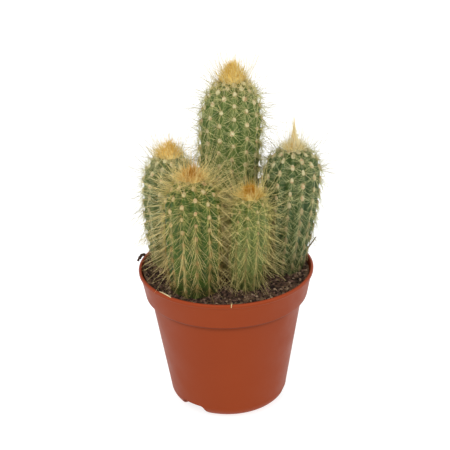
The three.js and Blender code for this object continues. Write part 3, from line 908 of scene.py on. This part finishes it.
def ribs_and_tubercles():
    """Raises ribs on a stem's tube, and on each rib a bulge below every areole."""
    grower = Grower("ribs_and_tubercles", depth=2.6 * MM, tubercle=0.9 * MM, unevenness=0.5 * MM)
    crest = grower.maths("ABSOLUTE", grower.maths("COSINE", grower.attribute("rib") * math.pi))
    along = grower.maths("COSINE", (grower.attribute("row") - 0.14) * (2 * math.pi))
    bulge = (along * 0.5 + 0.5) ** 0.8
    strength = grower.attribute("ribbing")
    uneven = (grower.noise(90.0, grower.position(), 1.0) - 0.5) * grower.input("unevenness")
    depth = (1 - crest) * grower.input("depth") * strength
    knob = (bulge - 0.7) * crest * crest * grower.input("tubercle") * strength
    skin = grower.moved(grower.start, grower.direction("out") * (knob - depth + uneven))
    skin = grower.keep(grower.keep(skin, "crest", crest), "bulge", bulge)
    return grower.end(grower.smoothed(skin))


def crowding(stem, position):
    """From 0 in the open to 1 for the areoles of a stem that all but touch the next stem."""
    x, y, height = position[:, 0], position[:, 1], position[:, 2] - GROUND
    gap = np.full(len(position), 99.0)
    for name, facts in STEMS.items():
        if name != stem.name:
            share = np.clip(height / facts["height"], 0, 1)
            axis_x, axis_y = (mix(*ends, share) for ends in zip(facts["ground"], facts["apex"]))
            away = np.hypot(x - axis_x, y - axis_y) - facts["radius"]
            over = np.maximum(0, height - facts["height"])
            gap = np.minimum(gap, np.hypot(np.maximum(away, 0), over))
    top = stem.facts["crowded_below"]
    return smoothstep(gap, 7.5, 1) * smoothstep(height, top, top - 25)


def areole_points(stem, name):
    """A mesh of loose points, one on each areole, with its directions and age."""
    found = stem.areoles()
    ribs = np.array([rib for rib, _ in found])
    s = np.array([height for _, height in found])
    rng = np.random.default_rng(len(found))
    s = s + rng.normal(0, 0.3, len(s))
    angle = stem.rib_angle(ribs) + rng.normal(0, 0.015, len(s))
    position, out, up = stem.place(angle, s, 0.25)
    topmost = stem.row_height(0)
    attributes = {
        "out": out,
        "up": up,
        "age": np.clip(1 - s / topmost, 0, 1),
        "youth": smoothstep(s, topmost - stem.facts["young"], topmost + 2),
        "crowded": crowding(stem, position),
    }
    return mesh_object(name, position, [], attributes)


def woolly_pads():
    """Puts a small oval pad of wool on every areole, larger on the young ones."""
    grower = Grower("woolly_pads", width=1.3 * MM, height=1.5 * MM, thickness=0.8 * MM, seed=5)
    given = grower.input
    age = grower.attribute("age")
    points = grower.keep(grower.start, "tint", grower.random(0.0, 1.0, 1))
    size = grower.smooth(age, 0.0, 0.75, 1.05, 0.82) * grower.random(0.85, 1.15, 2)
    drawn_out = grower.smooth(age, 0.3, 0.8, 1.0, 1.5)
    place = grower.position()
    pad = grower.moved(grower.ball(2), place * ((grower.noise(2.2, place, 2.0) - 0.5) * 0.9))
    height = size * drawn_out * given("height")
    scale = grower.combined(X=size * given("width"), Y=height, Z=size * given("thickness"))
    # Z is brought to the outward normal, and Y to the way up the skin.
    axes = {"primary_axis": "Z", "secondary_axis": "Y"}
    inputs = {"Primary Axis": grower.direction("out"), "Secondary Axis": grower.direction("up")}
    turn = grower.node("FunctionNodeAxesToRotation", axes, inputs)
    return grower.end(grower.smoothed(grower.realized(grower.copied(pad, points, turn, scale))))


def needle(grower):
    """A unit needle along Z: three-sided and slender, with its share along kept."""
    sizes = {"Radius Top": 0.6, "Radius Bottom": 1.0, "Depth": 1.0}
    inputs = {"Vertices": 3, "Side Segments": 1, **sizes}
    cone = grower.node("GeometryNodeMeshCone", {"fill_type": "NGON"}, inputs, output="Mesh")
    return grower.keep(cone, "along", grower.part(grower.position(), "Z"))


def planted(grower, points, thickness):
    """Plants a needle on every point, along its direction and with its length."""
    inputs = {"Vector": grower.direction("direction")}
    turn = grower.node("FunctionNodeAlignRotationToVector", {"axis": "Z"}, inputs)
    scale = grower.combined(X=thickness, Y=thickness, Z=grower.attribute("length"))
    return grower.realized(grower.copied(needle(grower), points, turn, scale))


def nudge_of(grower, direction, side, up, radial, settled, key):
    """Where on its areole a spine stands: the old areoles are drawn out along the rib."""
    sideways = side * (grower.random(-0.6, 0.6, 13, key) * MM)
    reach = 0.7 + (settled + 1 - radial) * 1.7
    upward = up * (grower.random(-1.0, 1.0, 14, key) * reach * MM)
    return direction * ((0.3 + radial * 0.7) * MM) + sideways + upward


def kept_in_pot(grower, direction, length):
    """Shortens the spines near the ground that would reach through the pot's wall."""
    tip = grower.position() + direction * length
    x, y, z = (grower.part(tip, axis) for axis in "XYZ")
    away = grower.maths("SQRT", x * x + y * y)
    # The wall's inner face is about 55 mm from the axis, and its rim is 99 mm up.
    near_wall = grower.smooth(away, 48 * MM, 53 * MM)
    below_rim = grower.smooth(z, 106 * MM, 100 * MM)
    return length * (1 - near_wall * below_rim * 0.65)


def spine_clusters():
    """Grows the spines of every areole: short radial ones, long spreading ones and a few that
    stand out. The young ones point up the skin, and the long old ones hang."""
    sizes = {"shortest": 3.0 * MM, "longest": 9.5 * MM, "thickness": 0.11 * MM}
    shares = {"flatness": 0.5, "parted": 0.5, "short": 0.5, "outstanding": 0.28, "shorter": 0.3}
    young = {"more_young": 0.3, "wilder_young": 0.0, "lift": 0.7}
    grower = Grower("spine_clusters", count=40, **sizes, **shares, **young, hang=0.15, seed=7)
    given, draw, smooth = grower.input, grower.random, grower.smooth
    age, youth = grower.attribute("age"), grower.attribute("youth")
    thinned = 1 - grower.attribute("crowded") * 0.6
    amount = given("count") * (1 + youth * given("more_young") - age * 0.3) * thinned
    inputs = {"Geometry": grower.start, "Amount": amount}
    points = grower.node("GeometryNodeDuplicateElements", {"domain": "POINT"}, inputs)
    key = grower.node("GeometryNodeInputIndex")
    kind = draw(0.0, 1.0, 1, key)
    radial = grower.maths("LESS_THAN", kind, given("short"))
    central_share = given("outstanding") * (1 + youth * given("wilder_young"))
    central = grower.maths("GREATER_THAN", kind, 1 - central_share)
    # Tilts are counted from the outward normal, in radians.
    almost_flat = 1.55
    tilt = mix(draw(0.55, 1.25, 2, key), draw(1.05, 1.5, 3, key), radial)
    tilt = mix(tilt, draw(0.05, 0.55, 4, key), central)
    settled = smooth(age / given("parted"), 0.05, 1.0)
    flatness = given("flatness")
    tilt = mix(tilt, almost_flat, settled * flatness * (1 - central * (1 - flatness)))
    sine, cosine = grower.maths("SINE", tilt), grower.maths("COSINE", tilt)
    # Headings are counted from straight up. The old spines part to the left and right, and down.
    combed = smooth(age, 0.0, 0.7, 1.05, 0.7)
    widest = mix(math.pi, combed + 0.6, settled)
    narrowest = settled * 0.22
    parted = mix(narrowest, widest, draw(0.0, 1.0, 5, key))
    heading = math.pi + parted * grower.maths("SIGN", draw(-1.0, 1.0, 12, key))
    out, up = grower.direction("out"), grower.direction("up")
    side = grower.vector("CROSS_PRODUCT", up, out)
    direction = out * cosine + side * (sine * grower.maths("SINE", heading))
    direction = direction + up * (sine * grower.maths("COSINE", heading) + youth * given("lift"))
    drop = smooth(age, 0.05, 0.8) * given("hang") * (1 - radial * 0.6)
    direction = grower.vector("NORMALIZE", direction + grower.combined(Z=drop * -1.0))
    shortest, longest = given("shortest"), given("longest")
    length = longest * draw(0.5, 1.0, 8, key)
    length = mix(length, mix(shortest, longest * 0.65, draw(0.0, 1.0, 7, key)), radial)
    length = mix(length, longest * draw(0.6, 1.35, 9, key), central)
    fresh = smooth(age, 0.4, 0.05)
    length = length * (1 + central * fresh * 0.25 + youth * (central * 0.25 - radial * 0.3))
    length = length * (1 - settled * (1 - central) * given("shorter"))
    length = kept_in_pot(grower, direction, length * smooth(age, 1.0, 0.65, 0.55, 1.0))
    tip = grower.position() + direction * length
    # Painted shade in clumps: spines whose tips lie close together share how dark they are painted.
    # The random part of the tint is each spine's own tone.
    shade_clump = smooth(grower.noise(260.0, tip, 1.0), 0.38, 0.62)
    uneven = draw(0.0, 1.0, 11, key)
    stout = mix(uneven * uneven * 0.75 + 0.75, uneven * 0.4 + 0.7, radial) - youth * 0.1
    kept = {
        "tint": shade_clump * 0.55 + draw(0.0, 0.45, 10, key),
        "length": length,
        "stout": stout * (1 - central * 0.1),
        "standing": grower.vector("DOT_PRODUCT", direction, out),
        "nudge": nudge_of(grower, direction, side, up, radial, settled, key),
        "direction": direction,
    }
    for name, value in kept.items():
        points = grower.keep(points, name, value)
    points = grower.moved(points, grower.direction("nudge"))
    return grower.end(planted(grower, points, given("thickness") * grower.attribute("stout")))


def crown_cap(stem, name):
    """The top of a stem's skin as a closed lens, for the golden tuft to grow on."""
    facts = stem.facts
    around, rings, lift, depth = 48, 12, 0.1, 1.5
    shares = np.linspace(1, 0, rings + 1)[:-1]
    angles = np.arange(around) * 2 * math.pi / around
    s, angle = np.meshgrid(stem.length - shares * facts["cap"], angles, indexing="ij")
    position, _, _ = stem.place(angle, s, lift)
    apex_point = [*facts["apex"], GROUND + facts["height"] + lift]
    below = position[0].mean(axis=0) - [0, 0, depth]
    points = np.concatenate([position.reshape(-1, 3), [apex_point, below]])
    away = np.stack([np.cos(angle), np.sin(angle), np.zeros(angle.shape)], -1).reshape(-1, 3)
    attributes = {
        "away": np.concatenate([away, np.zeros((2, 3))]),
        "share": np.append(np.repeat(shares, around), [0, 1]),
    }
    apex, bottom, last = len(points) - 2, len(points) - 1, (rings - 1) * around
    faces = ring_faces(rings, around)
    faces += [(last + k, last + (k + 1) % around, apex) for k in range(around)]
    seen = len(faces)
    faces += [((k + 1) % around, k, bottom) for k in range(around)]
    cap = mesh_object(name, points, faces, attributes)
    bearing = cap.data.attributes.new("bearing", "FLOAT", "FACE")
    bearing.data.foreach_set("value", [1.0] * seen + [0.0] * (len(faces) - seen))
    return cap


def golden_tuft():
    """Grows a tuft on a cap: a felted core, and bristles in bundles that lean out at its edge."""
    sizes = {"core": 6.0 * MM, "tip": 12.0 * MM, "edge": 6.0 * MM, "thickness": 0.165 * MM}
    apex = {"apex_x": 0.0, "apex_y": 0.0, "apex_z": 0.24}
    growth = {"fall": 1.2, "lean_out": 45.0, "gather": 0.3, "crowd": 1.5}
    grower = Grower("golden_tuft", **sizes, **apex, **growth, seed=3)
    given, draw, smooth = grower.input, grower.random, grower.smooth
    share = grower.attribute("share")
    inner = 1 - share ** given("fall")
    offset = grower.combined(Z=given("core") * inner)
    core = grower.keep(grower.smoothed(grower.moved(grower.start, offset)), "along", 0.35)
    # Points are strewn on the flat cap, and then lifted on to the core.
    inputs = {
        "Mesh": grower.start,
        "Selection": grower.maths("GREATER_THAN", grower.attribute("bearing"), 0.5),
        "Density": given("crowd") * (1.5 - share * 0.7) / (MM * MM),
        "Seed": given("seed"),
    }
    points = grower.node("GeometryNodeDistributePointsOnFaces", {}, inputs)
    place = grower.position()
    inputs = {"Vector": place, "Scale": 420.0}
    bundle = grower.node("ShaderNodeTexVoronoi", {"feature": "F1"}, inputs, output="Color")
    points = grower.moved(grower.keep(points, "bundle", bundle), offset)
    first, second, third = (grower.part(grower.direction("bundle"), axis) for axis in "XYZ")
    # Leans are counted from straight up, in degrees and then in radians.
    lean = given("lean_out") * share + (second - 0.5) * 18.0 + draw(-12.0, 12.0, 1)
    lean = lean * (math.pi / 180)
    jitter = {"X": draw(-0.14, 0.14, 3), "Y": draw(-0.14, 0.14, 4)}
    upward = grower.combined(**jitter, Z=grower.maths("COSINE", lean))
    leaning = grower.direction("away") * grower.maths("SINE", lean) + upward
    tip = grower.combined(X=given("apex_x"), Y=given("apex_y"), Z=given("apex_z") + given("tip"))
    to_tip = tip - place
    gathered = given("gather") * smooth(share, 1.0, 0.35)
    inward = grower.vector("NORMALIZE", to_tip) * gathered
    direction = grower.vector("NORMALIZE", leaning * (1 - gathered) + inward)
    standing = (given("tip") - given("core")) * inner + given("edge") * (1 - inner)
    reach = grower.vector("LENGTH", to_tip)
    spire = reach * mix(1.0, (1 - share) ** 1.5, smooth(share, 0.1, 0.45))
    length = mix(standing, spire, smooth(gathered, 0.1, 0.5))
    uneven = draw(0.0, 1.0, 5)
    strays = uneven**10 * 0.6 * (1 - gathered)
    length = length * (uneven * uneven * 0.6 + 0.55 + strays) * (first * 0.3 + 0.85)
    points = grower.keep(points, "tint", draw(0.0, 0.6, 6) + third * 0.4)
    points = grower.keep(points, "direction", direction)
    points = grower.keep(points, "length", length)
    bristles = planted(grower, points, given("thickness"))
    return grower.end(grower.node("GeometryNodeJoinGeometry", {}, {"Geometry": [core, bristles]}))


# Finishes


def pot_plastic():
    """Satin terracotta-coloured plastic, slightly cloudy, with fine scuffs and a dusty rim, a
    painted highlight along the lip and painted shade under the collar.
    """
    shine = {"Specular_IOR_Level": 0.12, "Specular_Tint": (1, 1, 0.55, 1)}
    surface = Surface("pot_plastic", Roughness=0.48, **shine)
    place, smooth = surface.place(), surface.smooth
    height = surface.part(place, "Z")
    fine = surface.noise(700.0, place, 3.0, 0.6)
    # Painted shade: a dark band in the step under the collar, where shade falls.
    painted_shade_under_collar = smooth(height, 74.5 * MM, 78.2 * MM) * smooth(height, 80.6 * MM, 79.8 * MM)
    surface.paint(
        colour(139, 55, 25),
        (colour(146, 60, 28), surface.noise(22.0, place, 3.0)),
        # Painted highlight: a lighter band along the top of the lip, where the light catches it.
        (colour(168, 70, 40), smooth(height, 97.6 * MM, 98.8 * MM) * 0.7),
        (colour(92, 34, 14), painted_shade_under_collar * 0.55),
        (colour(116, 78, 56), smooth(fine, 0.56, 0.75) * smooth(height, 86 * MM, 99 * MM) * 0.3),
    )
    surface.feed("Roughness", smooth(surface.noise(60.0, place, 4.0, 0.6), 0.3, 0.7, 0.4, 0.52))
    surface.bump(fine, 0.05 * MM, 0.3)
    return surface.material


def potting_soil():
    surface = Surface("potting_soil", Roughness=0.92, Specular_IOR_Level=0.25)
    place = surface.place()
    surface.feed("Base Color", surface.ramp(SOIL_TINTS, surface.noise(140.0, place, 4.0, 0.65)))
    surface.bump(surface.noise(900.0, place, 3.0, 0.7), 0.6 * MM, 0.9)
    return surface.material


def crumb_finish(name, tints):
    """Dull, speckled bits, each in its own tint."""
    surface = Surface(name, Roughness=0.9, Specular_IOR_Level=0.25)
    speckle = surface.noise(1500.0, surface.place(), 2.0)
    tint = surface.ramp(tints, surface.attribute("tint"))
    surface.paint(tint, (colour(24, 17, 14), surface.smooth(speckle, 0.45, 0.75) * 0.5))
    surface.bump(speckle, 0.3 * MM, 0.8)
    return surface.material


def cactus_skin(name, young, full, old, waxy, aged_and_lit_below):
    """Green skin: fresher at the top and duller at the ground, where the tall stem is painted paler
    instead as painted light; with a pale bloom, and painted shade in the furrows and between the
    bulges.
    """
    under = {"Subsurface_Weight": 0.08, "Subsurface_Radius": (1.2 * MM, 2 * MM, 0.6 * MM)}
    surface = Surface(name, Roughness=0.5, Specular_IOR_Level=0.4, **under)
    place, smooth = surface.place(), surface.smooth
    height, crest = surface.attribute("height"), surface.attribute("crest")
    patches = surface.noise(95.0, place, 3.0, 0.6)
    fine = surface.noise(1300.0, place, 3.0, 0.65)
    worn = smooth(crest, 0.93, 0.99) * smooth(height + (patches - 0.5) * 0.3, 0.66, 0.4)
    surface.paint(
        full,
        (young, smooth(height, 0.62, 0.95)),
        # The old skin at the ground. On the tall stem this coat is painted light: a much paler
        # colour, from higher up, that brightens the shade between the stems.
        (old, smooth(height + (patches - 0.5) * 0.25, aged_and_lit_below, 0.0)),
        (waxy, smooth(patches, 0.42, 0.72) * 0.5),
        (waxy, smooth(crest, 0.55, 1.0) * 0.3),
        (colour(144, 126, 76), worn * 0.4),
        # Painted shade: darker in the furrows between the ribs and in the hollows between the
        # bulges.
        ((0.55, 0.62, 0.5, 1.0), smooth(crest, 0.45, 0.0) * 0.55, "MULTIPLY"),
        ((0.72, 0.8, 0.66, 1.0), smooth(surface.attribute("bulge"), 0.35, 0.0) * 0.5, "MULTIPLY"),
        (waxy, smooth(fine, 0.58, 0.75) * 0.35),
    )
    surface.feed("Roughness", smooth(patches, 0.3, 0.7, 0.42, 0.58))
    surface.bump(fine, 0.12 * MM, 0.5)
    return surface.material


def spine_finish(name, root, shaft, tip, young, old, standing):
    """Horn-like spines with their own colour when young, when old and where they stand out. Painted
    shade darkens some of them in clumps, and darkens them more where the next stem crowds them, in
    the shade between the stems."""
    surface = Surface(name, Roughness=0.45, Specular_IOR_Level=0.4)
    smooth = surface.smooth
    labels = ("along", "tint", "age", "youth", "standing", "crowded")
    along, tint, age, youth, outstanding, crowded = (surface.attribute(label) for label in labels)
    youth = smooth(youth, 0.15, 0.9)
    outstanding = smooth(outstanding, 0.45, 0.85)
    outstanding = outstanding * smooth(age, 0.95, 0.5, 0.4, 1.0)
    shaded = crowded * smooth(tint, 0.1, 0.4) * (1 - outstanding * 0.8)
    surface.paint(
        shaft,
        (tip, smooth(along, 0.6, 1.0) * 0.6),
        (old, smooth(age + tint * 0.3, 0.35, 1.1) * 0.95),
        (young, youth * 0.85),
        (standing, outstanding * (0.85 - youth * 0.5)),
        (root, smooth(along, 0.3, 0.0) * 0.8),
        # Darker spines: partly painted shade in clumps, partly each spine's own random tone, and
        # less on the young ones.
        ((0.52, 0.47, 0.36, 1.0), smooth(tint, 0.3, 1.0) * (0.75 - youth * 0.4), "MULTIPLY"),
        ((0.48, 0.32, 0.18, 1.0), shaded, "MULTIPLY"),
    )
    return surface.material


def wool_finish(name, fresh, grown, old):
    """The felt of the areoles: cream with a pink or tan cast, browner on the old ones."""
    surface = Surface(name, Roughness=0.95, Specular_IOR_Level=0.2)
    place, smooth = surface.place(), surface.smooth
    tint, age = surface.attribute("tint"), surface.attribute("age")
    fuzz = surface.noise(1800.0, place, 2.0)
    spots = smooth(surface.noise(620.0, place, 1.0), 0.5, 0.66) * smooth(age + tint * 0.3, 0.0, 0.3)
    surface.paint(
        fresh,
        (grown, smooth(age + tint * 0.4, 0.05, 0.6)),
        (colour(200, 144, 106), spots * 0.65),
        (old, smooth(age, 0.22, 0.6) * 0.9),
        ((0.64, 0.58, 0.46, 1.0), smooth(fuzz, 0.5, 0.75) * 0.4, "MULTIPLY"),
    )
    surface.bump(fuzz, 0.4 * MM, 0.9)
    return surface.material


def tuft_finish(name, heart, shaft, tip, fading):
    """Young bristles: deepest in colour at the heart, golden along, pale at the tips and edge."""
    surface = Surface(name, Roughness=0.5, Specular_IOR_Level=0.35)
    smooth = surface.smooth
    along, share, tint = (surface.attribute(label) for label in ("along", "share", "tint"))
    golden = surface.mixed(shaft, tip, smooth(along + share * 0.5, 0.5, 1.2) * 0.9)
    surface.paint(
        heart,
        (golden, smooth(share + along * fading, 0.25, 0.8)),
        ((0.7, 0.62, 0.48, 1.0), smooth(tint, 0.2, 1.0) * 0.5, "MULTIPLY"),
        ((0.66, 0.52, 0.34, 1.0), smooth(along, 0.25, 0.0) * 0.6, "MULTIPLY"),
    )
    return surface.material


# The setting


def set_up(thing, place, direction, roll=0.0):
    """Puts a camera or a lamp at a place in the scene, looking in a direction."""
    thing.location = place
    thing.rotation_mode = "QUATERNION"
    thing.rotation_quaternion = direction.to_track_quat("-Z", "Y") @ Quaternion((0, 0, 1), roll)
    bpy.context.scene.collection.objects.link(thing)


def place_camera():
    """Looks at the clump as the photograph does: from in front and above, with a slight roll."""
    elevation = math.radians(CAMERA["elevation"])
    back = Vector((0, -math.cos(elevation), math.sin(elevation)))
    camera = bpy.data.objects.new("camera", bpy.data.cameras.new("camera"))
    camera.data.sensor_width = 36
    camera.data.lens = CAMERA["lens"]
    place = Vector((0, 0, CAMERA["aim_height"])) + back * CAMERA["distance"]
    set_up(camera, place, -back, math.radians(CAMERA["roll"]))
    bpy.context.scene.camera = camera


def light_studio():
    scene = bpy.context.scene
    scene.view_settings.view_transform = "Standard"
    world = bpy.data.worlds.new("studio")
    world.use_nodes = True
    background = world.node_tree.nodes["Background"]
    background.inputs["Color"].default_value = (1, 1, 1, 1)
    background.inputs["Strength"].default_value = 0.62
    scene.world = world
    lit_point = Vector((0, 0, 0.13))
    for name, (place, size, power) in SOFT_BOXES.items():
        light = bpy.data.lights.new(name, "AREA")
        light.shape = "SQUARE"
        light.size = size
        light.energy = power
        set_up(bpy.data.objects.new(name, light), place, lit_point - Vector(place))


def lay_floor():
    half, level = 2500.0, -0.2
    corners = [(x * half, y * half, level) for x, y in ((-1, -1), (1, -1), (1, 1), (-1, 1))]
    floor = mesh_object("floor", corners, [(0, 1, 2, 3)])
    glow = {"Emission_Color": (1, 1, 1, 1), "Emission_Strength": 0.8}
    grey = {"Base_Color": (0.4, 0.4, 0.4, 1), "Roughness": 0.9, "Specular_IOR_Level": 0.1}
    floor.data.materials.append(Surface("floor", **grey, **glow).material)


# Putting it together


def add(piece, slot, *nodes):
    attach(piece, "root")
    if nodes:
        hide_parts(*nodes)


def add_stem(stem, trees):
    name, facts = stem.name, stem.facts
    green = cactus_skin(f"skin_{name}", *colours(SKINS[name]))
    skin = grow(stem_tube(stem), trees["ribs"], green, **RIBS[name])
    add(skin, "cactus_skin", f"stem_{name}")
    wool = wool_finish(f"areole_wool_{name}", *colours(WOOL_COLOURS[name]))
    pads = grow(areole_points(stem, f"wool_{name}"), trees["pads"], wool, **PADS[name])
    add(pads, "young_spines")
    horn = spine_finish(f"spine_{name}", *colours(SPINE_COLOURS[name]))
    spines = grow(areole_points(stem, f"spines_{name}"), trees["spines"], horn, **SPINES[name])
    add(spines, "cactus_skin")
    apex = (*facts["apex"], GROUND + facts["height"])
    apex = {f"apex_{axis}": value * MM for axis, value in zip("xyz", apex)}
    golden = tuft_finish(f"tuft_{name}", *colours(TUFT_COLOURS[name]))
    bristles = grow(crown_cap(stem, f"tuft_{name}"), trees["tuft"], golden, **TUFTS[name], **apex)
    add(bristles, "young_spines", f"crown_{name}")


def main():
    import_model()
    place_camera()
    light_studio()
    lay_floor()
    add(make_pot(pot_plastic()), "pot_plastic", "pot")
    add(make_soil(potting_soil()), "potting_soil", "soil")
    dull = crumb_finish("soil_crumbs", CRUMB_TINTS)
    crumbs = grow(ground_patch("soil_crumbs"), scattered_crumbs(), dull)
    add(crumbs, "potting_soil")
    bits = stray_bits()
    bits.data.materials.append(crumb_finish("stray_bits", BIT_TINTS))
    add(bits, "potting_soil")
    trees = {
        "ribs": ribs_and_tubercles(),
        "pads": woolly_pads(),
        "spines": spine_clusters(),
        "tuft": golden_tuft(),
    }
    for name, facts in STEMS.items():
        add_stem(Stem(name, facts), trees)


main()
